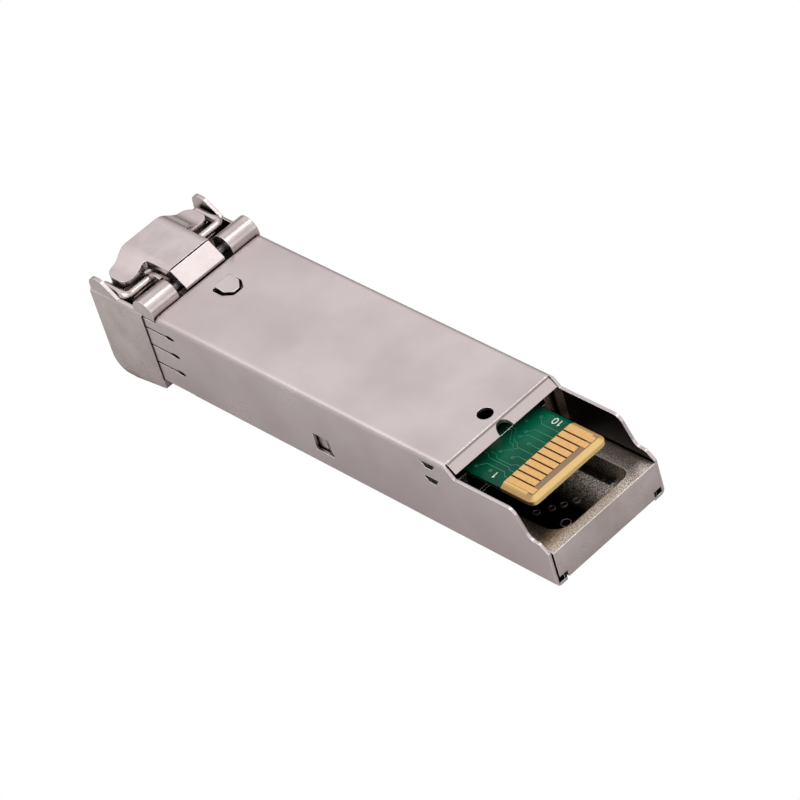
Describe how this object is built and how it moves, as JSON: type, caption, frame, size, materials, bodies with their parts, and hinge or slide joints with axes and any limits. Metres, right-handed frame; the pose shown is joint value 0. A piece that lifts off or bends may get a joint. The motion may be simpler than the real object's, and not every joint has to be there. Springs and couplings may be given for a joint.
{
  "type": "sfp transceiver",
  "caption": "Slim plated metal module with a bent sheet cover, a gold card edge at its open rear, two fibre ports, a latch lever and a wire bail.",
  "frame": {"origin": "centre of the overall box's underside, at the level of the nose's chin", "axes": "+X along the module towards its card edge, +Z out of the latch side, which is up as the picture shows it, +Y to the right-hand receiver port seen from the card edge's side"},
  "size_m": [0.0572, 0.0138, 0.0114],
  "materials": {
    "plated_casting": "zinc die casting, bright nickel plate, fine sand texture inside",
    "cover_sheet": "thin bent sheet, satin nickel plate",
    "plated_lever": "zinc die casting, bright nickel plate",
    "pin_steel": "ground steel",
    "bail_wire": "bright drawn wire, nickel plate",
    "spring_steel": "spring strip",
    "board_laminate": "glass-epoxy laminate with green solder mask and a bare tan card edge",
    "contact_gold": "hard gold plate",
    "turned_steel": "turned stainless steel",
    "zirconia": "ground white zirconia",
    "can_nickel": "nickel-plated header and cap",
    "flex_film": "amber polyimide film",
    "clamp_plastic": "moulded black plastic",
    "chip_epoxy": "moulded epoxy package",
    "thermal_silicone": "soft gap pad",
    "capacitor_ceramic": "tan ceramic with tinned ends",
    "resistor_ceramic": "black film on white ceramic",
    "inductor_ferrite": "grey ferrite"
  },
  "bodies": {
    "module": {"amplifier_chip": "chip_epoxy", "base_casting": "plated_casting", "capacitors": "capacitor_ceramic", "circuit_board": "board_laminate", "contacts_bottom": "contact_gold", "contacts_top": "contact_gold", "controller_chip": "chip_epoxy", "cover": "cover_sheet", "driver_chip": "chip_epoxy", "latch_spring": "spring_steel", "lever_pin": "pin_steel", "optics_clamp": "clamp_plastic", "power_inductors": "inductor_ferrite", "receiver_can": "can_nickel", "receiver_fibre_stub": "zirconia", "receiver_flex": "flex_film", "receiver_receptacle": "turned_steel", "receiver_sleeve": "zirconia", "resistors": "resistor_ceramic", "thermal_pad": "thermal_silicone", "transmitter_can": "can_nickel", "transmitter_fibre_stub": "zirconia", "transmitter_flex": "flex_film", "transmitter_receptacle": "turned_steel", "transmitter_sleeve": "zirconia"},
    "bail": {"bail": "bail_wire"},
    "lever": {"latch_lever": "plated_lever"}
  },
  "joints": [
    {"name": "bail_hinge", "type": "hinge", "parent": "module", "child": "bail", "pos_m": [-0.02425, 0, 0.00965], "axis": [0, 1, 0], "range_deg": [0, 90]},
    {"name": "lever_hinge", "type": "hinge", "parent": "module", "child": "lever", "pos_m": [-0.0211, 0, 0.00975], "axis": [0, 1, 0], "range_deg": [0, 7.5], "deforming": ["latch_spring"]}
  ],
  "couplings": [
    {"joint": "lever_hinge", "follows": "bail_hinge", "ratio": 0.083333}
  ]
}
